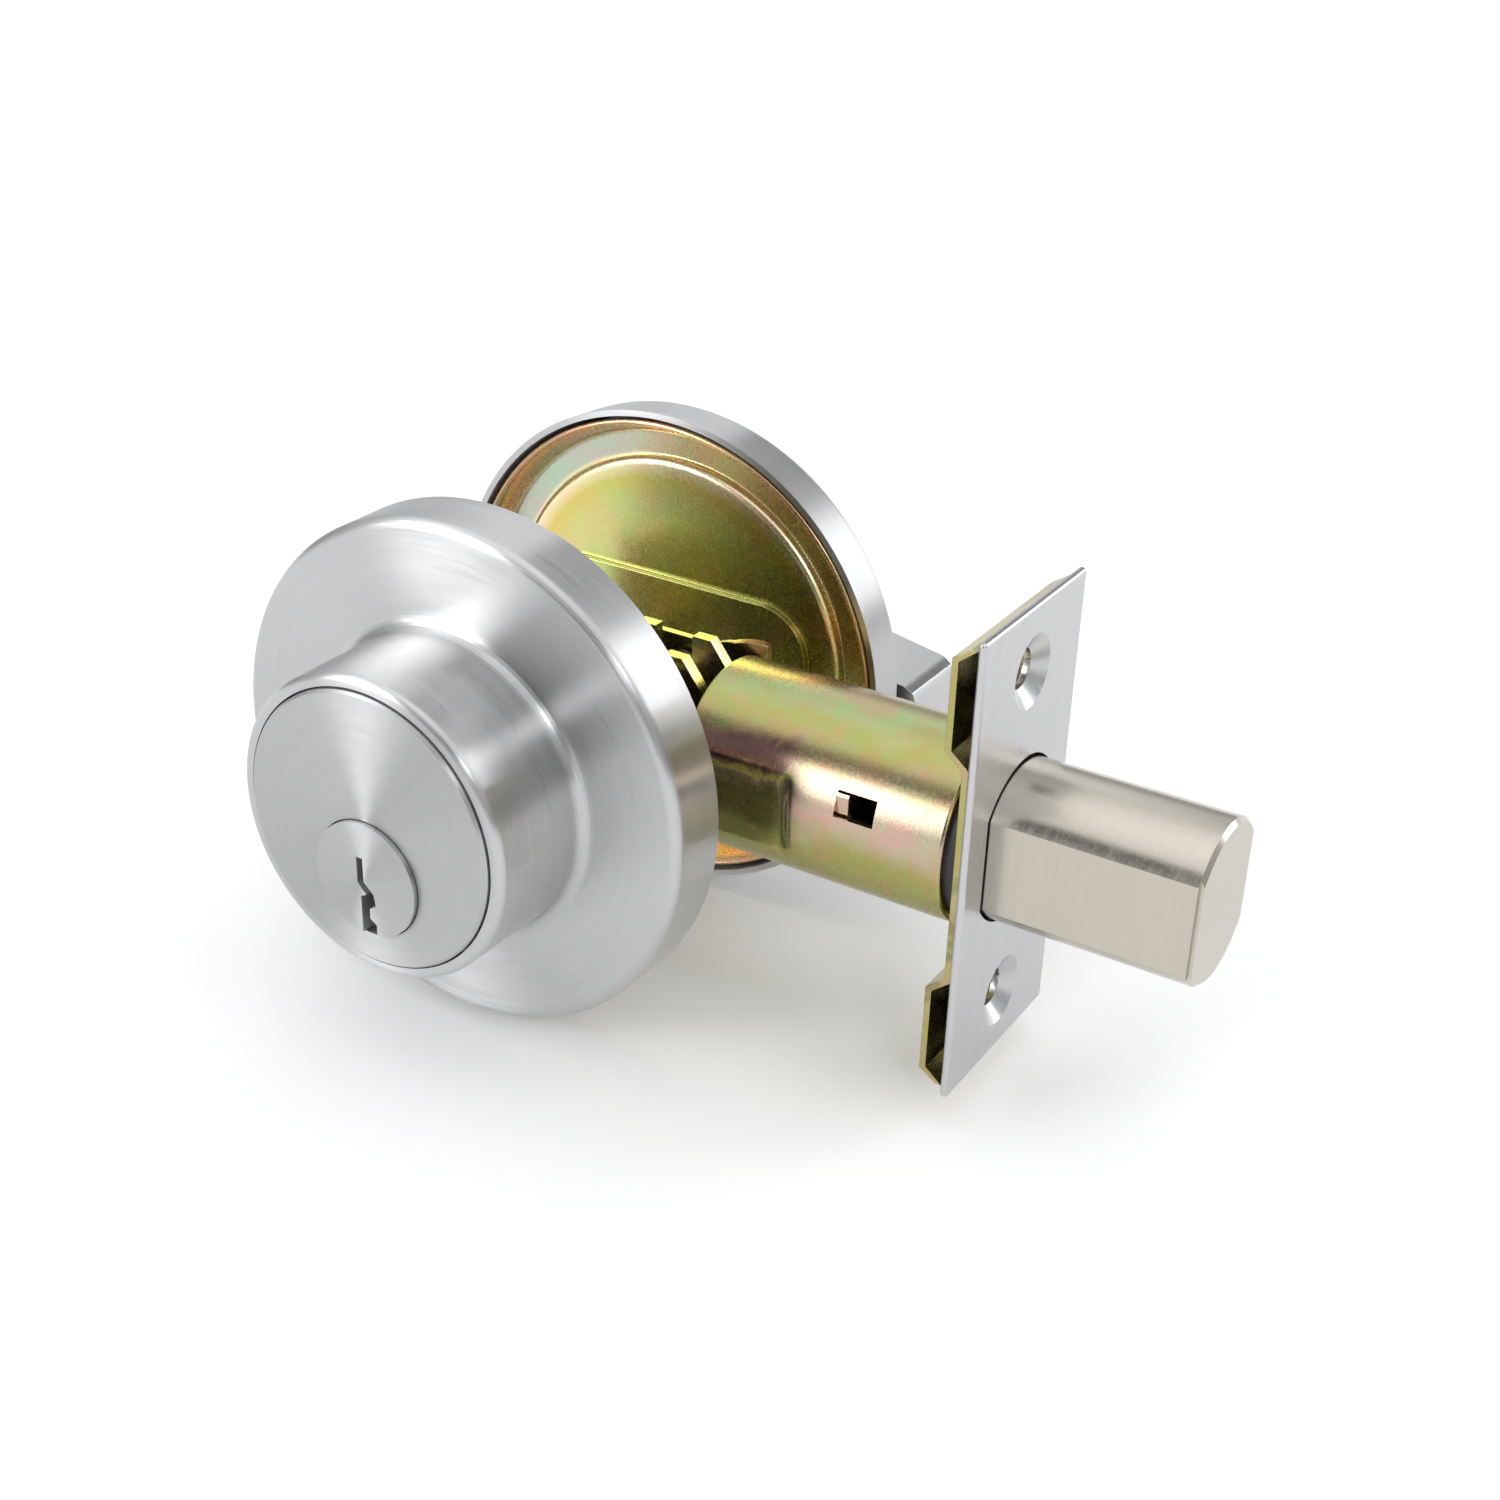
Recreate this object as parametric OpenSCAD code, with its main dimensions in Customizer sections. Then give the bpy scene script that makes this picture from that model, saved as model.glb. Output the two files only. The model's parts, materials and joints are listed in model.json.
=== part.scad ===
// Tubular deadbolt with a keyed cylinder outside, a thumb turn inside and a
// round bolt with two flats. The origin is where the centre line of the
// bolt crosses the centre line of the door's cross bore, in mid door.
// +X is the throw, -Y the keyed side, +Y the room side and +Z up.

/* [Door] */
// Thickness of the door that the lock clamps
door_t = 34.9; // [33:0.1:36]
// Backset, from the cross bore to the front of the faceplate
backset = 60.3; // [60:0.1:64]

/* [Bolt] */
// How far the bolt stands out of the faceplate
throw = 24.5; // [22:0.1:25.4]
// Radius of the round bolt
bolt_r = 9.6; // [9.4:0.1:9.7]
// Width across the two flats of the bolt
bolt_w = 15.6; // [15:0.1:16]
// Radius of the bolt tube
tube_r = 11.4; // [11.4:0.1:11.8]
// Where the rear end of the bolt tube is
tube_rear_x = 22; // [21:0.5:23]

/* [Faceplate] */
// Width of the faceplate
plate_w = 25.4; // [25:0.1:26]
// Height of the faceplate
plate_h = 57.15; // [56:0.05:58]
// Thickness of the faceplate
plate_t = 1.0; // [0.8:0.1:1.2]
// Spacing of the two screw holes
screw_pitch = 41.3; // [40:0.1:42]
// Radius of the screw holes
screw_hole_r = 2.4; // [2:0.1:2.6]

/* [Outside trim] */
// Radius of the flat flange
flange_r = 31.7; // [31:0.1:32.5]
// Thickness of the flange
flange_t = 8.2; // [7.5:0.1:9]
// Radius of the boss
boss_r = 18.7; // [18.5:0.1:19]
// How far the boss stands out of the flange
boss_h = 14.5; // [14:0.1:15]
// Radius of the cylinder's face
face_r = 16.95; // [16.9:0.05:17]

/* [Inside trim] */
// Radius of the rosette at the door
rosette_r = 32.6; // [32:0.1:33]
// Depth of the rosette
rosette_h = 7.2; // [7.2:0.1:7.6]
// Reach of the thumb turn from its axis
turn_reach = 33.4; // [30:0.1:34]

/* [Cylinder] */
// Height of the turning axis above the centre line of the bolt
turn_z = -5.9; // [-6.1:0.1:-5.7]
// Radius of the key plug
plug_r = 6.35; // [6.3:0.05:6.4]
// Radius of the plug's head
plug_head_r = 7.15; // [7.1:0.05:7.2]
// How many pin stacks there are
stacks = 5; // [3:1:5]

/* [Hidden] */
$fn = 64;
eps = 0.01;

// Faces of the door
out_y = -door_t / 2;
in_y = door_t / 2;

// Outside trim and cylinder, all along Y
flange_y = out_y - flange_t;
boss_y = flange_y - boss_h;
face_y = boss_y - 0.5;
plug_y = face_y - 0.6;
head_back_y = boss_y + 2.7;
barrel_r = 15.7;
barrel_back_y = out_y + 3.45;
cam_pocket_y = barrel_back_y - 4.2;
clip_groove_y = cam_pocket_y + 0.05;
plug_back_y = cam_pocket_y + 1.3;
keyway_end_y = cam_pocket_y - 0.4;
plug_bore_r = plug_r + 0.04;
stack_y = boss_y + 4.4;
stack_step = 3.8;
pin_r = 1.43;
chamber_r = 1.5;
shear_z = turn_z + plug_r;
bitting = [1.6, 3.0, 2.2, 3.4, 2.6];
driver_l = 5;
spring_l = 6.4;
bolt_x = 11;
bolt_screw_r = 2.4;
guard_x = 3.6;
guard_y = face_y + 2.2;
guard_z = turn_z + 7.4;
lug_in_r = 3.6;
lug_out_r = 5.9;

// Bolt unit, all along X
plate_x = backset;
tip_x = backset + throw;
sheet = 0.8;
back_x = plate_x - plate_t;
bush_x = back_x - sheet;
tube_front_x = backset - 3.8;
tube_in_r = tube_r - sheet;
flat_end_x = tube_rear_x + 15;
flat_y = tube_r - 1.1;
flat_in_y = flat_y - sheet;
side_t = 1;
side_y = 6.4;
side_gap_y = side_y - side_t;
side_top = 9.9;
side_low = -10.6;
spacer_x = [-15.8, 16.6];
spacer_z = -8;
bolt_rear_x = 46.5;
tail_slot_y = 3.95;
tail_pin_x = bolt_rear_x + 3.6;

// Crank: the pin swings 45 degrees each way from upright
crank_arm = throw / sqrt(2);
pin_x = crank_arm * sin(45);
pin_z = turn_z + crank_arm * cos(45);
crank_pin_r = 2;
slot_w = 2 * crank_pin_r + 1.4;
hub_r = 5.2;
journal_r = 4.6;

// Inside trim, all along Y
rosette_y = in_y + rosette_h;
rosette_t = 1.2;
plate_floor_y = in_y + 2.8;
pad_y = in_y + 1.9;
spindle_r = 4.5;
washer_t = 0.6;
turn_y = rosette_y + washer_t;

// Puts local Z along +Y, with the shape's own Y pointing down
module along_y(y = 0, z = 0) {
    translate([0, y, z]) rotate([-90, 0, 0]) children();
}

// Puts local Z along +X
module along_x(x = 0) {
    translate([x, 0, 0]) rotate([0, 90, 0]) children();
}

// A round bar along Y from y0 to y1
module bar_y(r, y0, y1, x = 0, z = 0) {
    translate([x, y0, z]) rotate([-90, 0, 0]) cylinder(r = r, h = y1 - y0);
}

// A round bar along X from x0 to x1
module bar_x(r, x0, x1, y = 0, z = 0) {
    translate([x0, y, z]) rotate([0, 90, 0]) cylinder(r = r, h = x1 - x0);
}

// A box given by its two corners
module block(a, b) {
    translate(a) cube(b - a);
}

// Points along an arc, from angle a0 to a1
function arc(cx, cy, r, a0, a1, n = 6) =
    [for (i = [0:n]) let (a = a0 + (a1 - a0) * i / n) [cx + r * cos(a), cy + r * sin(a)]];

// A ring sector about the turning axis, from angle a0 to a1, from y0 to y1
module sector_y(r0, r1, a0, a1, y0, y1) {
    along_y(y0, turn_z) rotate([0, 0, a0]) rotate_extrude(angle = a1 - a0)
        translate([r0, 0]) square([r1 - r0, y1 - y0]);
}

// A wire coil with its axis along Z, starting at z = 0
module coil(r, wire, turns, length) {
    steps = 9;
    sides = 5;
    n = turns * steps;
    points = [for (i = [0:n]) for (j = [0:sides - 1])
        let (a = 360 * i / steps, b = 360 * j / sides, q = r + wire * cos(b))
        [q * cos(a), q * sin(a), wire + (length - 2 * wire) * i / n + wire * sin(b)]];
    skin = [for (i = [0:n - 1]) for (j = [0:sides - 1])
        let (k = (j + 1) % sides)
        [i * sides + j, (i + 1) * sides + j, (i + 1) * sides + k, i * sides + k]];
    start = [[for (j = [0:sides - 1]) j]];
    end = [[for (j = [sides - 1:-1:0]) n * sides + j]];
    polyhedron(points = points, faces = concat(skin, start, end));
}

// Flat flange with a hollow back, and the boss round the cylinder
module trim_collar() {
    edge = 1.2;
    root = 1.6;
    lip = 0.9;
    color("lightgray") along_y() rotate_extrude($fn = 128) polygon(concat(
        [[29.6, out_y], [flange_r, out_y]],
        arc(flange_r - edge, flange_y + edge, edge, 0, -90),
        arc(boss_r + root, flange_y - root, root, 90, 180),
        arc(boss_r - lip, boss_y + lip, lip, 0, -90),
        [[face_r + 0.25, boss_y], [face_r + 0.25, head_back_y],
         [barrel_r + 0.2, head_back_y], [barrel_r + 0.2, flange_y + 3],
         [28.6, flange_y + 3], [29.6, flange_y + 4]]));
}

// Cast housing: head, barrel, plug bore, pin chambers and two tapped holes
module cylinder_housing() {
    color("silver") difference() {
        union() {
            along_y(face_y) cylinder(r1 = face_r - 0.3, r2 = face_r, h = 0.3);
            bar_y(face_r, face_y + 0.3, head_back_y);
            bar_y(barrel_r, head_back_y, barrel_back_y);
        }
        bar_y(plug_bore_r, face_y - 1, barrel_back_y + 1, z = turn_z);
        bar_y(plug_head_r + 0.15, face_y - 1, plug_y + 2, z = turn_z);
        bar_y(7.9, cam_pocket_y, barrel_back_y + 1, z = turn_z);
        for (i = [0:stacks - 1])
            translate([0, stack_y + i * stack_step, turn_z]) cylinder(r = chamber_r, h = 30);
        for (s = [-1, 1]) bar_y(bolt_screw_r + 0.05, head_back_y + 4, barrel_back_y + 1, s * bolt_x, turn_z);
        for (s = [-1, 1]) bar_y(1.25, barrel_back_y - 6, barrel_back_y + 1, s * 8, 6);
        for (s = [-1, 1]) translate([s * guard_x, guard_y, guard_z]) cylinder(r = 1, h = 10);
    }
}

// The outline of the keyway, about the plug's axis
module keyway() {
    polygon([
        [-1.1, 2.7], [-0.2, 2.7], [-0.2, -0.3], [1.2, -1.6], [1.4, -3.0],
        [0.5, -3.6], [0.5, -4.9], [1.4, -5.5], [1.4, -9], [-0.7, -9],
        [-0.7, -2.3], [0.1, -1.9], [-1.1, -0.6]
    ]);
}

module key_plug() {
    color("gainsboro") difference() {
        union() {
            bar_y(plug_head_r, plug_y, plug_y + 1.95, z = turn_z);
            bar_y(plug_r, plug_y + 1.9, plug_back_y, z = turn_z);
            sector_y(lug_in_r, lug_out_r, 75, 105, plug_back_y - 0.1, plug_back_y + 1.1);
        }
        translate([0, keyway_end_y, turn_z]) rotate([90, 0, 0])
            linear_extrude(height = keyway_end_y - plug_y + 1) keyway();
        for (i = [0:stacks - 1])
            translate([0, stack_y + i * stack_step, turn_z + 1]) cylinder(r = chamber_r, h = 10);
        difference() {
            bar_y(plug_r + 1, clip_groove_y, clip_groove_y + 0.8, z = turn_z);
            bar_y(plug_r - 0.8, clip_groove_y - 1, clip_groove_y + 2, z = turn_z);
        }
    }
}

// Snap ring in the groove behind the housing's bore
module plug_clip() {
    color("dimgray") sector_y(plug_r - 0.78, plug_r + 1.1, -55, 235, clip_groove_y + 0.06, clip_groove_y + 0.74);
}

// One key pin in each chamber of the plug, pointed at the key
module key_pins() {
    top = plug_r - 0.25;
    color("goldenrod") for (i = [0:stacks - 1])
        translate([0, stack_y + i * stack_step, turn_z]) {
            translate([0, 0, bitting[i] + 0.8]) cylinder(r = pin_r, h = top - bitting[i] - 0.8);
            translate([0, 0, bitting[i]]) cylinder(r1 = 0.6, r2 = pin_r, h = 0.8);
        }
}

module driver_pins() {
    color("goldenrod") for (i = [0:stacks - 1])
        translate([0, stack_y + i * stack_step, shear_z + 0.1]) cylinder(r = pin_r, h = driver_l);
}

module pin_springs() {
    color("silver") for (i = [0:stacks - 1])
        translate([0, stack_y + i * stack_step, shear_z + 0.1 + driver_l])
            coil(r = 1.1, wire = 0.2, turns = 6, length = spring_l);
}

// Plugs that close the pin chambers over the springs
module chamber_plugs() {
    color("goldenrod") for (i = [0:stacks - 1])
        translate([0, stack_y + i * stack_step, shear_z + 0.1 + driver_l + spring_l])
            cylinder(r = chamber_r - 0.01, h = 2.6);
}

// Hardened pins in the head, one at each side of the plug
module anti_drill_pins() {
    color("dimgray") for (s = [-1, 1])
        translate([s * guard_x, guard_y, guard_z]) cylinder(r = 0.99, h = 9.9);
}

// Flat blade with a round cam that the plug's lug turns
module tailpiece() {
    cam_y = barrel_back_y - 1.6;
    color("darkgray") {
        bar_y(6.1, cam_y, barrel_back_y - 0.1, z = turn_z);
        sector_y(lug_in_r, lug_out_r, 287, 343, plug_back_y + 0.2, cam_y + 0.1);
        block([-3.4, barrel_back_y - 0.2, turn_z - 1.1], [3.4, in_y - 0.4, turn_z + 1.1]);
    }
}

// Steel disc that keeps the tailpiece in the housing
module housing_cap() {
    color("darkkhaki") difference() {
        bar_y(14.6, barrel_back_y, barrel_back_y + 1);
        bar_y(4.4, barrel_back_y - 1, barrel_back_y + 2, z = turn_z);
        for (s = [-1, 1]) bar_y(bolt_screw_r + 0.3, barrel_back_y - 1, barrel_back_y + 2, s * bolt_x, turn_z);
        for (s = [-1, 1]) bar_y(1.35, barrel_back_y - 1, barrel_back_y + 2, s * 8, 6);
    }
}

module cap_screws() {
    color("silver") for (s = [-1, 1]) difference() {
        union() {
            bar_y(1.2, barrel_back_y - 5, barrel_back_y + 1.1, s * 8, 6);
            bar_y(2.3, barrel_back_y + 1, barrel_back_y + 2.2, s * 8, 6);
        }
        block([s * 8 - 2, barrel_back_y + 1.6, 5.7], [s * 8 + 2, barrel_back_y + 3, 6.3]);
    }
}

// Two screws from the mounting plate into the cylinder housing
module through_bolts() {
    head_y = pad_y + 1;
    color("darkkhaki") for (s = [-1, 1]) difference() {
        union() {
            bar_y(bolt_screw_r, head_back_y + 8, head_y + 0.1, s * bolt_x, turn_z);
            bar_y(4.2, head_y, head_y + 2.2, s * bolt_x, turn_z);
        }
        translate([s * bolt_x, head_y + 1.6, turn_z]) cube([5, 2, 1], center = true);
        translate([s * bolt_x, head_y + 1.6, turn_z]) cube([1, 2, 5], center = true);
    }
}

// The opening that fits round the bolt, along X from x0 to x1
module bolt_shape(gap, x0, x1) {
    intersection() {
        bar_x(bolt_r + gap, x0, x1);
        block([x0 - 1, -bolt_w / 2 - gap, -20], [x1 + 1, bolt_w / 2 + gap, 20]);
    }
}

module faceplate() {
    color("silver") difference() {
        union() {
            block([back_x, -plate_w / 2, -plate_h / 2], [plate_x, plate_w / 2, plate_h / 2]);
            for (s = [-1, 1]) translate([back_x - 1.2, 0, s * screw_pitch / 2]) rotate([0, 90, 0])
                cylinder(r1 = 3.4, r2 = 5.2, h = 1.25);
        }
        bolt_shape(0.35, back_x - 1, plate_x + 1);
        for (s = [-1, 1]) {
            bar_x(screw_hole_r, back_x - 3, plate_x + 1, z = s * screw_pitch / 2);
            translate([back_x - 0.4, 0, s * screw_pitch / 2]) rotate([0, 90, 0])
                cylinder(r1 = screw_hole_r, r2 = 4.4, h = plate_t + 0.41);
        }
    }
}

// Sheet plate behind the faceplate, pressed back behind the two screws
module back_plate() {
    press = 2.2;
    flat = 13.4;
    ramp = 1.8;
    end = 27.4;
    half_w = 12.2;
    front = [[0, flat], [-press, flat + ramp], [-press, end - ramp], [0, end]];
    rear = [[-sheet, end], [-press - sheet, end - ramp + 0.3],
            [-press - sheet, flat + ramp - 0.3], [-sheet, flat - 0.3]];
    upper = concat(front, rear);
    lower = [for (i = [len(upper) - 1:-1:0]) [upper[i][0], -upper[i][1]]];
    color("darkkhaki") difference() {
        translate([back_x, half_w, 0]) rotate([90, 0, 0])
            linear_extrude(height = 2 * half_w) polygon(concat(upper, lower));
        bolt_shape(0.35, back_x - 3, back_x + 1);
        for (s = [-1, 1]) bar_x(screw_hole_r + 0.4, back_x - 5, back_x + 1, z = s * screw_pitch / 2);
    }
}

// Guide for the bolt in the mouth of the tube
module front_bush() {
    color("#2a2a2a") difference() {
        bar_x(tube_in_r - 0.04, tube_front_x - 7, bush_x);
        bolt_shape(0.06, tube_front_x - 8, bush_x + 1);
    }
}

// Rolled tube: two flats pressed in at the rear, and one window with a lanced tab
module bolt_tube() {
    window_z = 2.2;
    window_h = 3;
    slit = 0.3;
    color("khaki") difference() {
        intersection() {
            bar_x(tube_r, tube_rear_x, tube_front_x, $fn = 96);
            union() {
                block([flat_end_x, -20, -20], [tube_front_x + 1, 20, 20]);
                block([0, -flat_y, -20], [flat_end_x + eps, flat_y, 20]);
            }
        }
        intersection() {
            bar_x(tube_in_r, tube_rear_x - 1, tube_front_x + 1, $fn = 96);
            union() {
                block([flat_end_x - sheet, -20, -20], [tube_front_x + 2, 20, 20]);
                block([0, -flat_in_y, -20], [flat_end_x, flat_in_y, 20]);
            }
        }
        block([44.2, -20, window_z], [47.8, -5, window_z + window_h]);
        for (z = [window_z, window_z + window_h - slit])
            block([42.8, -20, z], [44.3, -5, z + slit]);
        block([42.8, -20, window_z], [44.3, -tube_r + 0.9, window_z + window_h]);
    }
}

module bolt_bar() {
    edge = 0.5;
    color("tan") difference() {
        union() {
            bolt_shape(0, bolt_rear_x, tip_x - edge);
            intersection() {
                along_x(tip_x - edge - eps) cylinder(r1 = bolt_r, r2 = bolt_r - edge, h = edge + eps);
                block([0, -bolt_w / 2 + edge, -20], [100, bolt_w / 2 - edge, 20]);
            }
        }
        bar_x(3.05, bolt_rear_x - 1, tip_x - 5);
        block([bolt_rear_x - 1, -tail_slot_y, -20], [bolt_rear_x + 7, tail_slot_y, 20]);
        bar_y(1.6, -20, 20, tail_pin_x);
    }
}

// Hardened roller inside the bolt
module saw_pin() {
    color("dimgray") bar_x(3, bolt_rear_x + 8, tip_x - 5.2);
}

// Folded tail: two forks that the crank pin drives
module bolt_tail() {
    fork_top = 11.9;
    fork_low = 2.4;
    x0 = pin_x - slot_w / 2 - 2.6;
    x1 = pin_x + slot_w / 2 + 2.6;
    color("darkkhaki") difference() {
        rotate([90, 0, 0]) translate([0, 0, -tail_slot_y + 0.05])
            linear_extrude(height = 2 * tail_slot_y - 0.1) polygon([
                [x0, fork_low], [x0, fork_top], [x1, fork_top], [x1 + 3, 8], [bolt_rear_x + 6.8, 5],
                [bolt_rear_x + 6.8, -5], [bolt_rear_x - 3, -5], [bolt_rear_x - 8, fork_low]
            ]);
        block([pin_x - slot_w / 2, -20, pin_z - crank_pin_r - 0.5], [pin_x + slot_w / 2, 20, 20]);
        block([x0 - 1, -2.3, -20], [bolt_rear_x + 5.6, 2.3, 20]);
        bar_y(1.55, -20, 20, tail_pin_x);
    }
}

module tail_pin() {
    color("dimgray") bar_y(1.5, -bolt_w / 2 + 0.3, bolt_w / 2 - 0.3, tail_pin_x);
}

// Hub in the two case sides, with one arm that leans to the bolt
module crank() {
    arm_w = 6;
    arm_t = 3.6;
    color("darkgray") difference() {
        union() {
            bar_y(journal_r, -side_y - 0.5, side_y + 0.5, z = turn_z);
            bar_y(hub_r, -side_gap_y + 0.2, side_gap_y - 0.2, z = turn_z);
            translate([0, arm_t / 2, turn_z]) rotate([0, 45, 0]) rotate([90, 0, 0])
                linear_extrude(height = arm_t) union() {
                    translate([-arm_w / 2, 0]) square([arm_w, crank_arm]);
                    translate([0, crank_arm]) circle(r = arm_w / 2);
                }
        }
        block([-3.6, -20, turn_z - 1.3], [3.6, 20, turn_z + 1.3]);
        bar_y(crank_pin_r, -5, 5, pin_x, pin_z);
    }
}

module crank_pin() {
    color("dimgray") bar_y(crank_pin_r, -side_gap_y + 0.5, side_gap_y - 0.5, pin_x, pin_z);
}

// The side of the rear case at +Y: it steps out to lie in the tube's flat
module case_side(ear) {
    tongue_x = flat_end_x - 1.2;
    difference() {
        intersection() {
            translate([0, 0, side_low]) linear_extrude(height = 30) polygon([
                [-18, side_gap_y], [19, side_gap_y], [tube_rear_x, flat_in_y - side_t],
                [tongue_x, flat_in_y - side_t], [tongue_x, flat_in_y],
                [tube_rear_x - 0.4, flat_in_y], [18.6, side_y], [-18, side_y]
            ]);
            union() {
                block([-18, 0, spacer_z - 2], [-10, 20, side_top - 2]);
                block([-13, 0, side_low], [19, 20, side_top]);
                block([19 - eps, 0, -4.2], [tongue_x, 20, 4.2]);
                intersection() {
                    bar_y(ear, 0, 20, 19, side_top - 4);
                    block([0, 0, -20], [tube_rear_x - 0.1, 20, 20]);
                }
            }
        }
        bar_y(journal_r + 0.05, 0, 20, z = turn_z);
        for (s = [-1, 1]) bar_y(bolt_screw_r + 0.5, 0, 20, s * bolt_x, turn_z);
        for (x = spacer_x) bar_y(1.3, 0, 20, x, spacer_z);
    }
}

module case_side_outer() {
    color("darkkhaki") mirror([0, 1, 0]) case_side(4);
}

module case_side_inner() {
    color("darkkhaki") case_side(5);
}

// Shouldered spacers riveted between the case sides
module case_spacers() {
    color("silver") for (x = spacer_x) {
        bar_y(1.9, -side_gap_y, side_gap_y, x, spacer_z);
        bar_y(1.3, -side_y - 0.4, side_y + 0.4, x, spacer_z);
    }
}

// Leaf spring that bears on the two spacers and lies under the hub
module detent_spring() {
    leaf = 0.4;
    top = spacer_z - 1.9;
    mid = turn_z - hub_r - 0.4;
    ends = [spacer_x[0] - 1.5, spacer_x[1] + 1.5];
    color("silver") translate([0, 3.4, 0]) rotate([90, 0, 0]) linear_extrude(height = 6.8) polygon([
        [ends[0], top], [ends[0] + 3.4, top], [-7, mid], [7, mid], [ends[1] - 3.4, top], [ends[1], top],
        [ends[1], top - leaf], [ends[1] - 3.2, top - leaf], [7, mid - leaf], [-7, mid - leaf],
        [ends[0] + 3.2, top - leaf], [ends[0], top - leaf]
    ]);
}

// Sheet plate with a rolled rim, a groove inside it and a raised pad round the hub
module mounting_plate() {
    rim_r = 31.3;
    bead = 0.5;
    t = 1.0;
    ring_y = in_y + 4;
    ring_in_r = 25.8;
    round_r = ring_y - plate_floor_y;
    pad_w = 21;
    pad_h = 13.5;
    pad_z = -3.9;
    color("darkkhaki") difference() {
        union() {
            along_y() rotate_extrude($fn = 128) polygon(concat(
                arc(rim_r - bead, in_y + 0.3 + bead, bead, -90, 0),
                [[rim_r - 0.8, ring_y - 0.2], [rim_r - 1.6, ring_y + t],
                 [ring_in_r, ring_y + t], [ring_in_r - 1.2, plate_floor_y + t],
                 [0, plate_floor_y + t], [0, plate_floor_y]],
                arc(ring_in_r - round_r, ring_y, round_r, -90, 0),
                [[rim_r - 2.5, ring_y], [rim_r - 2, ring_y - 0.4],
                 [rim_r - 2 * bead, in_y + 0.3 + bead]]));
            along_y(pad_y, pad_z) linear_extrude(height = plate_floor_y - pad_y + t)
                pad_outline(pad_w, pad_h, 7);
        }
        along_y(pad_y + t, pad_z) linear_extrude(height = 10) pad_outline(pad_w - t, pad_h - t, 6);
        bar_y(spindle_r + 0.06, 0, 60, z = turn_z);
        for (s = [-1, 1]) bar_y(bolt_screw_r + 0.3, 0, 60, s * bolt_x, turn_z);
    }
}

// A rectangle with round corners, half width w and half height h
module pad_outline(w, h, r) {
    square([2 * w, 2 * (h - r)], center = true);
    square([2 * (w - r), 2 * h], center = true);
    for (i = [-1, 1]) for (j = [-1, 1]) translate([i * (w - r), j * (h - r)]) circle(r = r);
}

module rosette() {
    edge = 1.4;
    inner = rosette_r - 0.8;
    color("lightgray") difference() {
        along_y() rotate_extrude($fn = 128) polygon(concat(
            [[inner, in_y], [rosette_r, in_y]],
            arc(rosette_r - 0.4 - edge, rosette_y - edge, edge, 0, 90),
            [[0, rosette_y], [0, rosette_y - rosette_t],
             [inner - 1.2, rosette_y - rosette_t], [inner - 0.4, rosette_y - rosette_t - 0.8]]));
        bar_y(spindle_r + 0.3, in_y, rosette_y + 1, z = turn_z);
    }
}

module wave_washer() {
    color("silver") difference() {
        bar_y(7.4, rosette_y, turn_y, z = turn_z);
        bar_y(spindle_r + 0.3, rosette_y - 1, turn_y + 1, z = turn_z);
    }
}

// Lever that points at the door edge while the bolt is out
module thumb_turn() {
    base = 1.6;
    hub = 9;
    near_y = turn_y + base;
    end_h = 6;
    color("lightgray") difference() {
        union() {
            bar_y(hub, turn_y, near_y + 0.1, z = turn_z);
            intersection() {
                translate([0, near_y, turn_z]) rotate([-90, 0, 0]) linear_extrude(height = 20) union() {
                    circle(r = hub);
                    polygon([[0, -hub], [turn_reach - 2, -end_h], [turn_reach - 0.6, -end_h + 0.7],
                             [turn_reach, -end_h + 2], [turn_reach, end_h - 2],
                             [turn_reach - 0.6, end_h - 0.7], [turn_reach - 2, end_h], [0, hub]]);
                }
                translate([0, 0, turn_z - 20]) linear_extrude(height = 40) polygon([
                    [-20, near_y], [turn_reach + 1, near_y], [turn_reach + 1, near_y + 10.4],
                    [turn_reach - 1.5, near_y + 11.2], [12, near_y + 14], [6, near_y + 14.4],
                    [-6, near_y + 13.6], [-9, near_y + 12]
                ]);
            }
        }
        bar_y(spindle_r + 0.02, turn_y - 1, turn_y + 7, z = turn_z);
    }
}

// Round spindle, slotted for the tailpiece and grooved for the clip
module turn_spindle() {
    groove_y = pad_y - 0.9;
    color("darkkhaki") difference() {
        bar_y(spindle_r, in_y - 4, turn_y + 6.9, z = turn_z);
        block([-3.6, in_y - 5, turn_z - 1.3], [3.6, in_y + 0.3, turn_z + 1.3]);
        difference() {
            bar_y(spindle_r + 1, groove_y, groove_y + 0.8, z = turn_z);
            bar_y(spindle_r - 0.8, groove_y - 1, groove_y + 2, z = turn_z);
        }
    }
}

module spindle_clip() {
    color("dimgray") sector_y(spindle_r - 0.78, spindle_r + 2.4, -60, 240, pad_y - 0.86, pad_y - 0.14);
}

trim_collar();
cylinder_housing();
key_plug();
plug_clip();
key_pins();
driver_pins();
pin_springs();
chamber_plugs();
anti_drill_pins();
tailpiece();
housing_cap();
cap_screws();
through_bolts();
faceplate();
back_plate();
front_bush();
bolt_tube();
bolt_bar();
saw_pin();
bolt_tail();
tail_pin();
crank();
crank_pin();
case_side_outer();
case_side_inner();
case_spacers();
detent_spring();
mounting_plate();
rosette();
wave_washer();
thumb_turn();
turn_spindle();
spindle_clip();
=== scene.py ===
import json
import math

import bmesh
import bpy
from mathutils import Matrix, Vector


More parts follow.
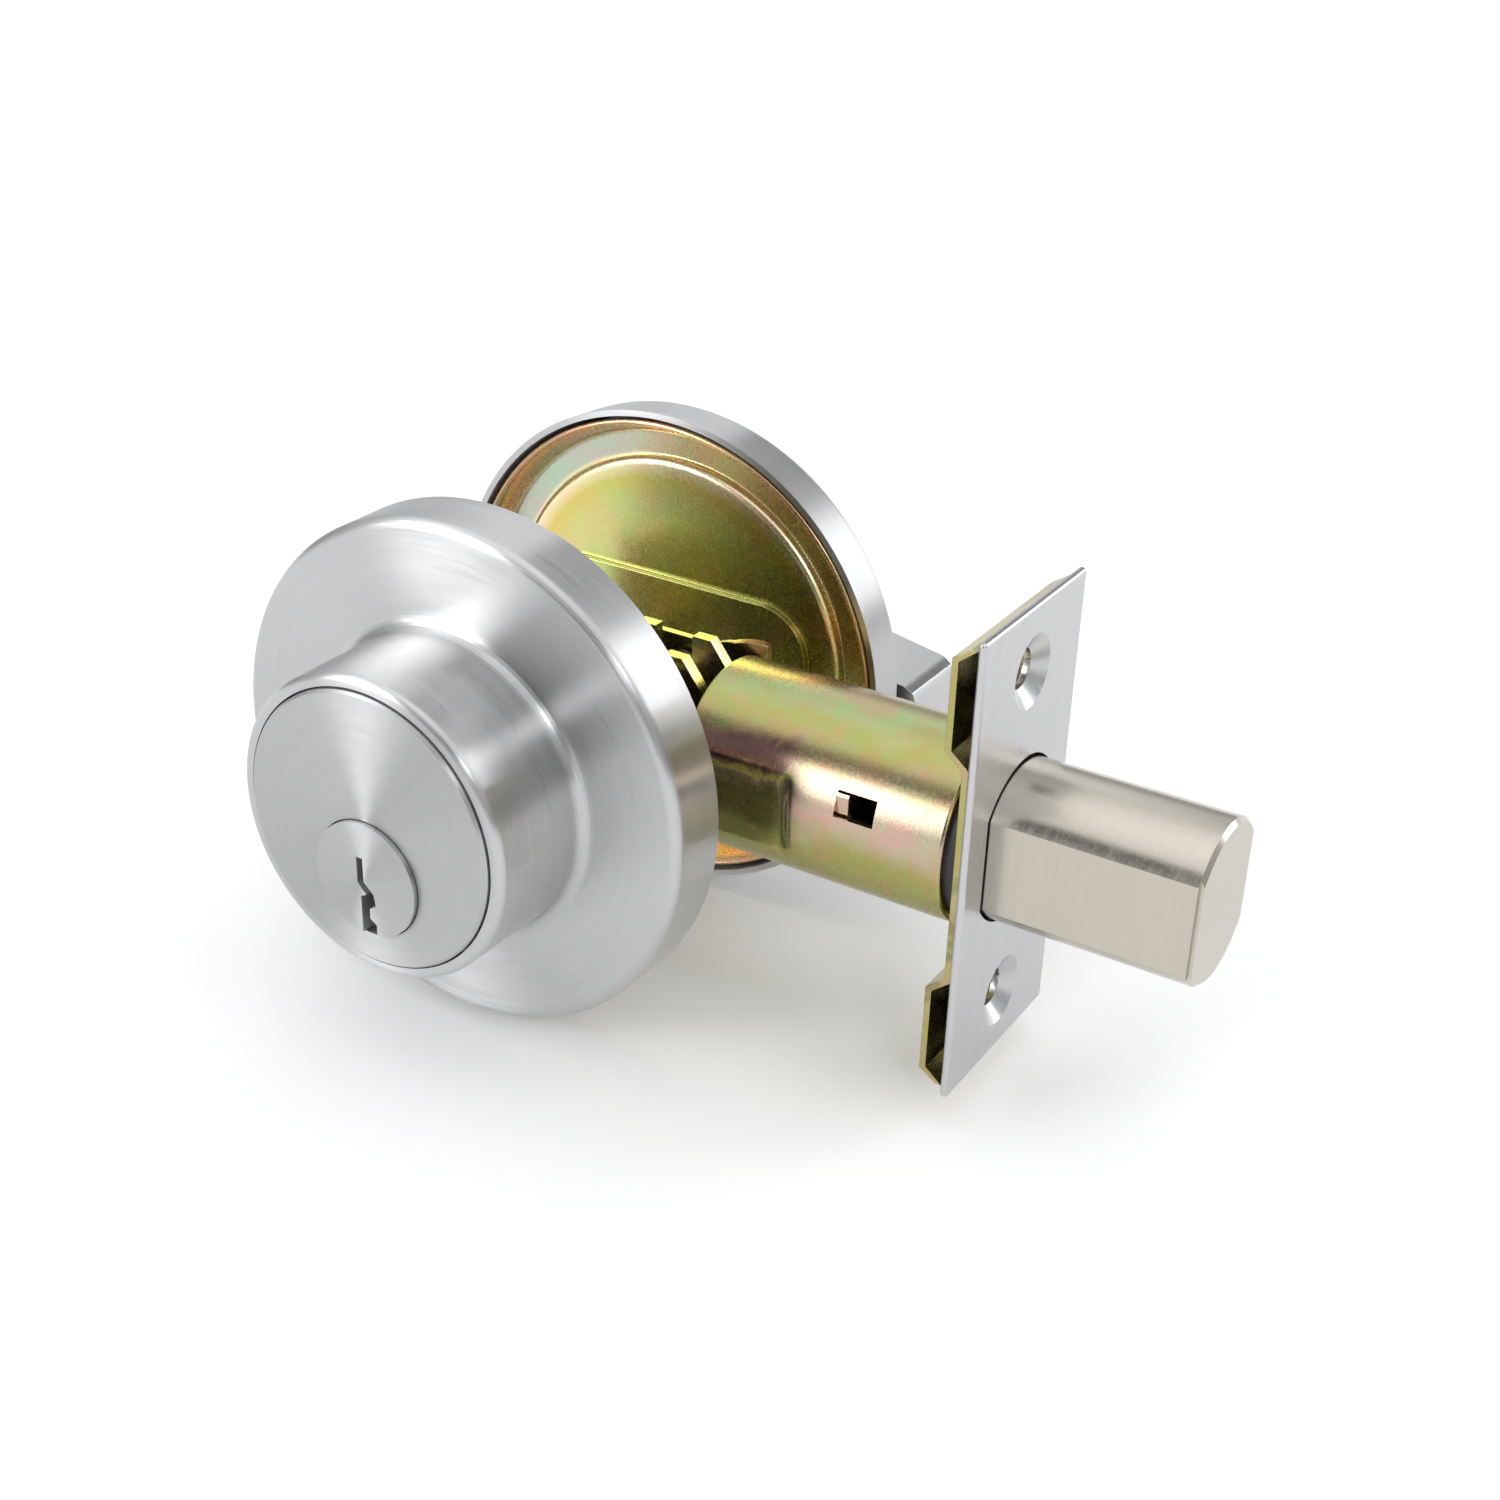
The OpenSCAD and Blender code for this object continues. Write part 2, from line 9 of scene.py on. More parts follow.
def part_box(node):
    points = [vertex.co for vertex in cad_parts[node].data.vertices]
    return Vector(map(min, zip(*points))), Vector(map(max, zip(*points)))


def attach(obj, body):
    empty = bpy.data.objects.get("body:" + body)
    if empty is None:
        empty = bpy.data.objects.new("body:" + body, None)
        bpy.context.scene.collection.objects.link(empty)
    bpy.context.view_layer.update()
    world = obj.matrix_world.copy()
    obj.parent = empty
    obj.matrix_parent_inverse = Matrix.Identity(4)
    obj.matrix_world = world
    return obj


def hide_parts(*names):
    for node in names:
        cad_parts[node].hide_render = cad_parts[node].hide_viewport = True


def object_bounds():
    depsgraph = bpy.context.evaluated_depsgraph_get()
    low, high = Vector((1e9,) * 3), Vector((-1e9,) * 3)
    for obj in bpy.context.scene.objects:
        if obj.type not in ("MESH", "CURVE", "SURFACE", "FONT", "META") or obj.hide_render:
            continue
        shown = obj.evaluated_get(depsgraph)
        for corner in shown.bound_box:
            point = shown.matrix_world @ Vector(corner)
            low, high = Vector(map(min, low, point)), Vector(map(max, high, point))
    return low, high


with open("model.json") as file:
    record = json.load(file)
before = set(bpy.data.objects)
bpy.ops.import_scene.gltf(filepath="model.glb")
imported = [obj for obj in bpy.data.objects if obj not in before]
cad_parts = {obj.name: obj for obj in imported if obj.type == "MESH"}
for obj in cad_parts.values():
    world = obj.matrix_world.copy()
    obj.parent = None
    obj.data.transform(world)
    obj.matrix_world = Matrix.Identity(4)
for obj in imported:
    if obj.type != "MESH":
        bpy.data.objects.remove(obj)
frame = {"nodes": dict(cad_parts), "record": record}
cad_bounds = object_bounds()

MM = 0.001
TAU = 2 * math.pi

# ---------------------------------------------------------------- sizes from the frame

tube_lo, tube_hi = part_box("bolt_tube")
# Where the two flats pressed into the tube end
FLAT_END = tube_lo.x + 15 * MM

# ---------------------------------------------------------------- mesh helpers


def shade(mesh, sharp):
    """Smooth shading, broken along edges sharper than that angle in degrees."""
    for f in mesh.polygons:
        f.use_smooth = True
    mesh.set_sharp_from_angle(angle=math.radians(sharp))


def new_object(name, bm, sharp=35):
    """A shaded mesh object from a bmesh, with its normals outwards."""
    bmesh.ops.recalc_face_normals(bm, faces=bm.faces)
    mesh = bpy.data.meshes.new(name)
    bm.to_mesh(mesh)
    bm.free()
    shade(mesh, sharp)
    obj = bpy.data.objects.new(name, mesh)
    bpy.context.scene.collection.objects.link(obj)
    return obj


def cut(obj, tool):
    """Takes tool away from obj, and drops tool."""
    modifier = obj.modifiers.new("cut", "BOOLEAN")
    modifier.object = tool
    modifier.operation = "DIFFERENCE"
    modifier.solver = "EXACT"
    apply_modifiers(obj)
    bpy.data.objects.remove(tool, do_unlink=True)


def apply_modifiers(obj):
    """Turns what the modifiers show into the mesh itself."""
    depsgraph = bpy.context.evaluated_depsgraph_get()
    mesh = bpy.data.meshes.new_from_object(obj.evaluated_get(depsgraph))
    old = obj.data
    obj.modifiers.clear()
    obj.data = mesh
    bpy.data.meshes.remove(old)


# ---------------------------------------------------------------- materials

# Colours of the dichromate film, with a dark colour for painted shade and a cream one for a painted
# highlight
OLIVE = (0.40, 0.38, 0.13)
GREEN = (0.40, 0.47, 0.23)
PINK = (0.52, 0.40, 0.30)
PLUM = (0.30, 0.17, 0.15)
# Painted shade: a dark colour for the shaded pad walls and for the tube flat's dark painted reflection
PAINTED_SHADE = (0.20, 0.18, 0.06)
CYAN = (0.48, 0.53, 0.42)
COPPER = (0.66, 0.44, 0.25)
GOLD = (0.66, 0.58, 0.16)
TAN = (0.46, 0.38, 0.20)
# Painted highlight on the disc's convex shoulder
CREAM_HIGHLIGHT = (0.84, 0.76, 0.46)
DARK_OLIVE = (0.28, 0.26, 0.11)
WARM = (0.92, 0.70, 0.30)
LIT_OLIVE = (0.64, 0.64, 0.25)
# Faint green and pink clouds that tint the film
BLUSH = [(0.35, (0.90, 1.05, 0.98)), (0.68, (1.12, 0.90, 1.0))]
# Painted reflections on the tube's rear flats: a dark one on the flat, a plum streak above it, and a gold
# painted highlight on the crease. Each is a place round the tube on its ramp, a half width and a colour
REAR_PAINTED_REFLECTIONS = [(0.60, 0.035, PLUM), (0.50, 0.075, PAINTED_SHADE), (0.566, 0.010, GOLD)]
# The radius at which a disc's ramp ends
DISC_REACH = 33 * MM


def node_adder(tree):
    """A helper that adds a node to a tree, with its settings, and with its inputs set or linked."""

    def add(kind, inputs=(), **settings):
        node = tree.nodes.new(kind)
        for key, value in settings.items():
            setattr(node, key, value)
        for key, value in dict(inputs).items():
            if isinstance(value, bpy.types.NodeSocket):
                tree.links.new(value, node.inputs[key])
            else:
                node.inputs[key].default_value = value
        return node

    return add


def new_material(name):
    """A node material, its Principled shader, its tree and the helper that adds nodes."""
    material = bpy.data.materials.new(name)
    material.use_nodes = True
    tree = material.node_tree
    return material, tree.nodes["Principled BSDF"], tree, node_adder(tree)


def set_ramp(ramp, stops):
    """Gives a colour ramp these stops, each a place from 0 to 1 and a colour."""
    elements = ramp.color_ramp.elements
    while len(elements) < len(stops):
        elements.new(0.5)
    for element, (place, colour) in zip(elements, stops):
        element.position = place
        element.color = (*colour, 1)


# The heights between which most of the brush lines lie
GRAIN_LOW = 0.6
GRAIN_HIGH = 1.4
# How far noise is stretched along brush lines: across is 1
STRETCH = 0.02
# Metres of noise that one radian round a ring spans
RING_DRIFT = 0.0008


def grain_height(add, kind, coarse, fine):
    """Brush lines as a height: rings about Y, lines along X ("x") or lines along Z ("z")."""
    place = add("ShaderNodeTexCoord").outputs["Object"]
    xyz = add("ShaderNodeSeparateXYZ", {0: place})
    if kind == "rings":
        flat = add("ShaderNodeCombineXYZ", {"X": xyz.outputs["X"], "Z": xyz.outputs["Z"]})
        radius = add("ShaderNodeVectorMath", {0: flat.outputs[0]}, operation="LENGTH").outputs["Value"]
        angle = add(
            "ShaderNodeMath", {0: xyz.outputs["Z"], 1: xyz.outputs["X"]}, operation="ARCTAN2"
        ).outputs[0]
        turn = add("ShaderNodeMath", {0: angle, 1: RING_DRIFT}, operation="MULTIPLY").outputs[0]
        where = add("ShaderNodeCombineXYZ", {"X": radius, "Y": xyz.outputs["Y"], "Z": turn}).outputs[0]
        scale = (1, 1, 1)
    else:
        where = place
        scale = (STRETCH, 1, 1) if kind == "x" else (1, 1, STRETCH)
    stretched = add("ShaderNodeMapping", {"Vector": where, "Scale": scale}).outputs[0]
    wide = add(
        "ShaderNodeTexNoise", {"Vector": stretched, "Scale": coarse, "Detail": 4.0, "Roughness": 0.65}
    ).outputs["Fac"]
    narrow = add(
        "ShaderNodeTexNoise", {"Vector": stretched, "Scale": fine, "Detail": 3.0, "Roughness": 0.6}
    ).outputs["Fac"]
    return add("ShaderNodeMath", {0: wide, 1: narrow}, operation="ADD").outputs[0]


def brushed_metal(name, colour, rough, kind, depth, anisotropy=0.0, coarse=900.0, fine=5200.0):
    """Plated metal with fine brush lines in its roughness, tone and bump."""
    material, shader, tree, add = new_material(name)
    height = grain_height(add, kind, coarse, fine)

    def by_grain(low, high):
        """A value that goes from low to high with the height of the brush lines."""
        return add(
            "ShaderNodeMapRange",
            {"Value": height, "From Min": GRAIN_LOW, "From Max": GRAIN_HIGH, "To Min": low, "To Max": high},
        ).outputs[0]

    base = add("ShaderNodeRGB")
    base.outputs[0].default_value = (*colour, 1)
    tinted = add(
        "ShaderNodeVectorMath", {0: base.outputs[0], "Scale": by_grain(0.93, 1.05)}, operation="SCALE"
    ).outputs[0]
    tree.links.new(tinted, shader.inputs["Base Color"])
    tree.links.new(by_grain(rough * 0.82, rough * 1.2), shader.inputs["Roughness"])
    shader.inputs["Metallic"].default_value = 1.0
    shader.inputs["Anisotropic"].default_value = anisotropy
    # A quarter turn, so that highlights spread across the brush lines
    shader.inputs["Anisotropic Rotation"].default_value = 0.25
    if anisotropy and kind == "rings":
        lines = add("ShaderNodeTangent", direction_type="RADIAL", axis="Y")
        tree.links.new(lines.outputs[0], shader.inputs["Tangent"])
    bump = add("ShaderNodeBump", {"Height": height, "Strength": 1.0, "Distance": depth}).outputs[0]
    tree.links.new(bump, shader.inputs["Normal"])
    return material


def dichromate(name, kind, bands, wander=0.1, scale=90.0, right_bands=()):
    """Zinc plate with a yellow dichromate film, coloured along a ramp.

    The ramp runs with the turn about X for "tube", with the distance from Y for "disc" and with
    slow noise for "plain". Noise makes it wander in every kind. A disc's right half may have bands
    of its own, and painted shade darkens the steep walls near its middle.
    """
    material, shader, tree, add = new_material(name)
    place = add("ShaderNodeTexCoord").outputs["Object"]
    drift = add(
        "ShaderNodeTexNoise",
        {"Vector": place, "Scale": scale, "Detail": 3.0, "Roughness": 0.55, "Distortion": 1.0},
    ).outputs["Fac"]
    xyz = add("ShaderNodeSeparateXYZ", {0: place})
    if kind == "tube":
        front = add("ShaderNodeMath", {0: xyz.outputs["Y"], 1: -1.0}, operation="MULTIPLY").outputs[0]
        turn = add("ShaderNodeMath", {0: xyz.outputs["Z"], 1: front}, operation="ARCTAN2").outputs[0]
        along = add(
            "ShaderNodeMapRange", {"Value": turn, "From Min": -math.pi, "From Max": math.pi}
        ).outputs[0]
    elif kind == "disc":
        flat = add("ShaderNodeCombineXYZ", {"X": xyz.outputs["X"], "Z": xyz.outputs["Z"]})
        radius = add("ShaderNodeVectorMath", {0: flat.outputs[0]}, operation="LENGTH").outputs["Value"]
        along = add("ShaderNodeMapRange", {"Value": radius, "From Max": DISC_REACH}).outputs[0]
    else:
        along = drift
    shift = add(
        "ShaderNodeMapRange",
        {"Value": drift, "From Min": 0.25, "From Max": 0.75, "To Min": -wander, "To Max": wander},
        clamp=False,
    ).outputs[0]
    where = add("ShaderNodeMath", {0: along, 1: shift}, operation="ADD").outputs[0]

    def ramp_of(share, stops):
        """A colour from a ramp with these stops."""
        ramp = add("ShaderNodeValToRGB", {"Fac": share})
        set_ramp(ramp, stops)
        return ramp.outputs[0]

    def blend(share, one, two):
        """Colour one, going over to colour two as share goes from 0 to 1."""
        mix = add("ShaderNodeMix", data_type="RGBA")
        tree.links.new(share, mix.inputs["Factor"])
        for socket, value in ((mix.inputs[6], one), (mix.inputs[7], two)):
            if isinstance(value, bpy.types.NodeSocket):
                tree.links.new(value, socket)
            else:
                socket.default_value = (*value, 1)
        return mix.outputs[2]

    base = ramp_of(where, bands)
    if right_bands:
        right = add(
            "ShaderNodeMapRange",
            {"Value": xyz.outputs["X"], "From Min": -12 * MM, "From Max": 8 * MM},
            interpolation_type="SMOOTHSTEP",
        ).outputs[0]
        base = blend(right, base, ramp_of(where, right_bands))
    cloud = add(
        "ShaderNodeTexNoise", {"Vector": place, "Scale": scale * 3.1, "Detail": 4.0, "Roughness": 0.6}
    ).outputs["Fac"]
    blush = ramp_of(cloud, BLUSH)
    film = add("ShaderNodeVectorMath", {0: base, 1: blush}, operation="MULTIPLY")
    colour = film.outputs[0]
    # Painted shade: steep walls near the middle of the disc go over to a dark colour
    if kind == "disc":
        facing = add("ShaderNodeNewGeometry").outputs["True Normal"]
        facing = add("ShaderNodeSeparateXYZ", {0: facing}).outputs["Y"]
        flat_on = add("ShaderNodeMath", {0: facing}, operation="ABSOLUTE").outputs[0]
        steep = add("ShaderNodeMapRange", {"Value": flat_on, "From Min": 0.95, "From Max": 0.6}).outputs[0]
        middle = add(
            "ShaderNodeMapRange", {"Value": radius, "From Min": 24.3 * MM, "From Max": 24 * MM}
        ).outputs[0]
        painted_wall_shade = add("ShaderNodeMath", {0: steep, 1: middle}, operation="MULTIPLY").outputs[0]
        colour = blend(painted_wall_shade, colour, PAINTED_SHADE)
    if kind == "tube":
        rear = add(
            "ShaderNodeMapRange",
            {"Value": xyz.outputs["X"], "From Min": FLAT_END + 2 * MM, "From Max": FLAT_END - 3 * MM},
            interpolation_type="SMOOTHSTEP",
        ).outputs[0]
        # Painted reflections and a painted highlight laid over the film on the rear flats
        for centre, half, tint in REAR_PAINTED_REFLECTIONS:
            away = add("ShaderNodeMath", {0: where, 1: centre}, operation="SUBTRACT").outputs[0]
            away = add("ShaderNodeMath", {0: away}, operation="ABSOLUTE").outputs[0]
            near = add(
                "ShaderNodeMapRange",
                {"Value": away, "From Min": half, "From Max": half * 0.4},
                interpolation_type="SMOOTHSTEP",
            ).outputs[0]
            share = add("ShaderNodeMath", {0: near, 1: rear}, operation="MULTIPLY").outputs[0]
            colour = blend(share, colour, tint)
    tree.links.new(colour, shader.inputs["Base Color"])
    shader.inputs["Metallic"].default_value = 1.0
    fine = add(
        "ShaderNodeTexNoise", {"Vector": place, "Scale": 2600.0, "Detail": 4.0, "Roughness": 0.6}
    ).outputs["Fac"]
    rough = add("ShaderNodeMapRange", {"Value": fine, "To Min": 0.18, "To Max": 0.34}).outputs[0]
    tree.links.new(rough, shader.inputs["Roughness"])
    bump = add("ShaderNodeBump", {"Height": fine, "Strength": 1.0, "Distance": 0.000008}).outputs[0]
    tree.links.new(bump, shader.inputs["Normal"])
    return material


CHROME = brushed_metal("satin chrome", (0.55, 0.55, 0.552), 0.31, "rings", 0.000004, 0.95)
CHROME_FACE = brushed_metal("satin chrome face", (0.48, 0.48, 0.48), 0.38, "rings", 0.000004, 0.85)
CHROME_PLATE = brushed_metal("satin chrome plate", (0.55, 0.55, 0.56), 0.3, "z", 0.000004)
NICKEL = brushed_metal("satin nickel", (0.52, 0.49, 0.42), 0.22, "z", 0.000004)
CAST = brushed_metal("zinc casting", (0.45, 0.45, 0.46), 0.42, "x", 0.00001)
STEEL = brushed_metal("spring steel", (0.45, 0.45, 0.47), 0.3, "x", 0.000004)
DARK_STEEL = brushed_metal("hardened steel", (0.28, 0.28, 0.30), 0.34, "x", 0.000004)
ZINC = brushed_metal("zinc plate", (0.58, 0.59, 0.61), 0.3, "x", 0.000005)
BRASS = brushed_metal("turned brass", (0.70, 0.50, 0.20), 0.25, "x", 0.000004)
FILM = dichromate("yellow dichromate", "plain", [(0.3, GREEN), (0.45, OLIVE), (0.55, GOLD), (0.7, PINK)])
FILM_DARK = dichromate(
    "thin yellow dichromate", "plain", [(0.35, OLIVE), (0.5, TAN), (0.6, DARK_OLIVE), (0.7, TAN)]
)
FILM_TUBE = dichromate(
    "yellow dichromate on the tube",
    "tube",
    [
        (0.30, OLIVE), (0.47, OLIVE), (0.52, PINK), (0.57, PINK),
        (0.62, TAN), (0.66, OLIVE), (0.72, GREEN), (0.80, TAN),
    ],
    wander=0.035,
    scale=110.0,
)
# On the disc, the cream band from 24.7 to 25.9 mm out is a painted highlight on the shoulder
FILM_DISC = dichromate(
    "yellow dichromate on the disc",
    "disc",
    [
        (0.0, LIT_OLIVE), (0.60, LIT_OLIVE), (0.70, GOLD), (0.75, CREAM_HIGHLIGHT),
        (0.785, CREAM_HIGHLIGHT), (0.80, CYAN), (0.87, CYAN), (0.90, COPPER),
    ],
    wander=0.012,
    scale=60.0,
    right_bands=[
        (0.0, LIT_OLIVE), (0.60, LIT_OLIVE), (0.70, GOLD), (0.75, CREAM_HIGHLIGHT),
        (0.785, CREAM_HIGHLIGHT), (0.80, WARM), (0.85, WARM), (0.93, COPPER),
    ],
)


def black_nylon():
    """Moulded black nylon with a faint texture."""
    material, shader, tree, add = new_material("black nylon")
    place = add("ShaderNodeTexCoord").outputs["Object"]
    spots = add("ShaderNodeTexNoise", {"Vector": place, "Scale": 3000.0, "Detail": 4.0}).outputs["Fac"]
    tone = add("ShaderNodeValToRGB", {"Fac": spots})
    set_ramp(tone, [(0.0, (0.008, 0.008, 0.008)), (1.0, (0.03, 0.03, 0.03))])
    tree.links.new(tone.outputs[0], shader.inputs["Base Color"])
    rough = add("ShaderNodeMapRange", {"Value": spots, "To Min": 0.4, "To Max": 0.6}).outputs[0]
    tree.links.new(rough, shader.inputs["Roughness"])
    bump = add("ShaderNodeBump", {"Height": spots, "Distance": 0.00001}).outputs[0]
    tree.links.new(bump, shader.inputs["Normal"])
    return material


NYLON = black_nylon()

SLOT_MATERIALS = {
    "satin_chrome": CHROME,
    "satin_chrome_face": CHROME_FACE,
    "satin_nickel": NICKEL,
    "dichromate": FILM,
    "zinc_cast": CAST,
    "zinc_plated": ZINC,
    "hardened_steel": DARK_STEEL,
    "spring_steel": STEEL,
    "brass": BRASS,
    "black_bush": NYLON,
}
# Nodes with a finish of their own
NODE_MATERIALS = {
    "bolt_tube": FILM_TUBE,
    "mounting_plate": FILM_DISC,
    "faceplate": CHROME_PLATE,
    "thumb_turn": CHROME_PLATE,
    "back_plate": FILM_DARK,
    "case_side_inner": FILM_DARK,
    "case_side_outer": FILM_DARK,
}
SLOTS = {part["node"]: part["material_slot"] for part in frame["record"]["subparts"]}
BODY_OF = {
    node: body for body, nodes in frame["record"]["behaviour"]["bodies"].items() for node in nodes
}


def finish_of(node):
    """The material of a node: its own, or its slot's."""
    return NODE_MATERIALS.get(node, SLOT_MATERIALS[SLOTS[node]])


def stand_for(obj, node):
    """The piece takes a CAD node's material, body and slot, and replaces the node."""
    obj.data.materials.clear()
    obj.data.materials.append(finish_of(node))
    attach(obj, BODY_OF[node])
    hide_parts(node)


def paint_nodes():
    """Every CAD node gets its finish."""
    for name, obj in frame["nodes"].items():
        material = finish_of(name)
        for slot in obj.material_slots:
            slot.material = material
        if not obj.material_slots:
            obj.data.materials.append(material)


paint_nodes()

# ---------------------------------------------------------------- softened pieces

# Vertices nearer than this are one
WELD = 0.002 * MM
# Faces that meet at less than this angle are one face, and above the second one the edge is crisp
ONE_FACE = math.radians(0.6)
CRISP = math.radians(32)


def round_edges(bm, edges, width, segments):
    """Rounds these edges over a width, in so many segments."""
    bmesh.ops.bevel(
        bm, geom=edges, offset=width, segments=segments, profile=0.5, affect="EDGES", clamp_overlap=True
    )


def softened(node, width, corner=0.0):
    """A copy of a CAD node with its crisp edges rounded, which stands for the node.

    With a corner radius, the outline's four upright corners (edges along X) are rounded too.
    """
    mesh = frame["nodes"][node].data.copy()
    bm = bmesh.new()
    bm.from_mesh(mesh)
    bmesh.ops.remove_doubles(bm, verts=bm.verts, dist=WELD)
    bmesh.ops.dissolve_limit(bm, angle_limit=ONE_FACE, verts=bm.verts, edges=bm.edges)
    if corner:
        reach_y = max(v.co.y for v in bm.verts) - width
        reach_z = max(v.co.z for v in bm.verts) - width
        corners = [
            e for e in bm.edges if all(abs(v.co.y) > reach_y and abs(v.co.z) > reach_z for v in e.verts)
        ]
        round_edges(bm, corners, corner, 6)
    crisp = [e for e in bm.edges if len(e.link_faces) == 2 and e.calc_face_angle(0) > CRISP]
    round_edges(bm, crisp, width, 2)
    obj = new_object(node + "_skin", bm, sharp=40)
    modifier = obj.modifiers.new("flat faces stay flat", "WEIGHTED_NORMAL")
    modifier.keep_sharp = True
    apply_modifiers(obj)
    stand_for(obj, node)


softened("faceplate", 0.12 * MM, corner=1.0 * MM)
for node, width in (
    ("back_plate", 0.08 * MM),
    ("bolt_bar", 0.25 * MM),
    ("thumb_turn", 0.45 * MM),
    ("case_side_inner", 0.1 * MM),
    ("case_side_outer", 0.1 * MM),
    ("mounting_plate", 0.15 * MM),
):
    softened(node, width)

# ---------------------------------------------------------------- bolt tube

# The tube's edges stay crisp above this angle, in degrees
TUBE_SHARP = 45


def tube_skin():
    """The rolled tube, lofted: a flat pressed into each side at the rear with soft shoulders."""
    outer = tube_hi.z
    wall = 0.8 * MM
    flat = outer - 1.1 * MM
    shoulder = 0.9 * MM
    blend = 0.12 * MM
    trim = 0.2 * MM
    steps = 160
    rear, front = tube_lo.x, tube_hi.x
    press_from, press_to = FLAT_END - 2 * shoulder, FLAT_END + shoulder
    # Each stretch of the tube as its first place, its length and its number of rings
    stretches = (
        (rear + 2 * trim, press_from - rear - 2 * trim, 8),
        (press_from, press_to - press_from, 10),
        (press_to, front - 2 * trim - press_to, 12),
    )
    places = [rear, rear + trim]
    for first, length, count in stretches:
        places += [first + length * k / count for k in range(count)]
    places += [front - 2 * trim, front - trim, front]

    def radius(x, a, inset):
        """The radius at x and at angle a, with the flat pressed in and its edges blended."""
        pressed = 1 - min(1, max(0, (x - FLAT_END + 1.5 * shoulder) / (2 * shoulder)))
        pressed = pressed * pressed * (3 - 2 * pressed)
        side = abs(math.cos(a))
        full = outer - inset
        if side < 0.5:
            return full
        level = (flat - inset) / side
        h = max(blend - abs(full - level), 0) / blend
        low = min(full, level) - h * h * blend / 4
        return full + (low - full) * pressed

    bm = bmesh.new()
    skins = []
    for inset in (0, wall):
        rings = []
        for k, x in enumerate(places):
            chamfer = trim if k in (0, len(places) - 1) and inset == 0 else 0
            ring = []
            for i in range(steps):
                a = TAU * (i + 0.5) / steps
                r = radius(x, a, inset + chamfer)
                ring.append(bm.verts.new((x, r * math.cos(a), r * math.sin(a))))
            rings.append(ring)
        skins.append(rings)
    for rings in skins:
        for one, two in zip(rings, rings[1:]):
            for i in range(steps):
                j = (i + 1) % steps
                bm.faces.new([one[i], one[j], two[j], two[i]])
    for k in (0, -1):
        for i in range(steps):
            j = (i + 1) % steps
            bm.faces.new([skins[0][k][i], skins[0][k][j], skins[1][k][j], skins[1][k][i]])
    return new_object("tube_skin", bm, TUBE_SHARP)


def block(low, high):
    """A block between two corners, to cut with."""
    bm = bmesh.new()
    bmesh.ops.create_cube(bm, size=1)
    for v in bm.verts:
        v.co = Vector((l + (h - l) * (c + 0.5) for l, h, c in zip(low, high, v.co)))
    return new_object("cutter", bm)


def add_tube():
    """The tube with its window, and the lanced tab at the window's rear edge."""
    tube = tube_skin()
    # The tab's root, the tab's tip and the window's front, back from the tube's mouth
    rear, tip, front = (tube_hi.x - back * MM for back in (13.7, 12.2, 8.7))
    low, high = 2.2 * MM, 5.2 * MM
    slit = 0.3 * MM
    tab_y = tube_lo.y + 0.9 * MM
    through = tube_lo.y / 2
    outside = 2 * tube_lo.y
    cut(tube, block((tip, outside, low), (front, through, high)))
    for z in (low, high - slit):
        cut(tube, block((rear, outside, z), (tip + slit, through, z + slit)))
    cut(tube, block((rear, outside, low), (tip + slit, tab_y, high)))
    shade(tube.data, TUBE_SHARP)
    stand_for(tube, "bolt_tube")


add_tube()

# ---------------------------------------------------------------- camera


def add_camera():
    """The photograph's view: a target point, two angles, a roll, a distance and a focal length."""
    azimuth = math.radians(31.11)
    elevation = math.radians(27.69)
    roll = math.radians(1.87)
    distance = 0.2456
    target = Vector((0.02797, -0.00497, 0.00345))
    back = Vector((
        math.sin(azimuth) * math.cos(elevation),
        -math.cos(azimuth) * math.cos(elevation),
        math.sin(elevation),
    ))
    right = Vector((math.cos(azimuth), math.sin(azimuth), 0))
    up = back.cross(right)
    right, up = (
        math.cos(roll) * right + math.sin(roll) * up,
        math.cos(roll) * up - math.sin(roll) * right,
    )
    data = bpy.data.cameras.new("camera")
    data.sensor_width = 36
    data.lens = 50.37
    data.clip_start = 0.005
    data.clip_end = 20
    camera = bpy.data.objects.new("camera", data)
    camera.matrix_world = Matrix.Translation(target + back * distance) @ Matrix((
        (right.x, up.x, back.x, 0),
        (right.y, up.y, back.y, 0),
        (right.z, up.z, back.z, 0),
        (0, 0, 0, 1),
    ))
    bpy.context.scene.collection.objects.link(camera)
    bpy.context.scene.camera = camera


add_camera()

# ---------------------------------------------------------------- floor and sky


def add_floor():
    """A plain pale floor just under the lock."""
    reach = 3.0
    level = cad_bounds[0][2] - 0.5 * MM
    bm = bmesh.new()
    corners = [(-reach, -reach), (reach, -reach), (reach, reach), (-reach, reach)]
    bm.faces.new([bm.verts.new((x, y, level)) for x, y in corners])
    floor = new_object("floor", bm)
    material, shader, tree, add = new_material("pale floor")
    shader.inputs["Base Color"].default_value = (0.9, 0.9, 0.9, 1)
    shader.inputs["Roughness"].default_value = 0.9
    shader.inputs["Emission Color"].default_value = (1, 1, 1, 1)
    shader.inputs["Emission Strength"].default_value = 0.06
    floor.data.materials.append(material)


# Brightness of the studio walls at the horizon and overhead
WALL_LOW = 0.34
WALL_TOP = 1.75
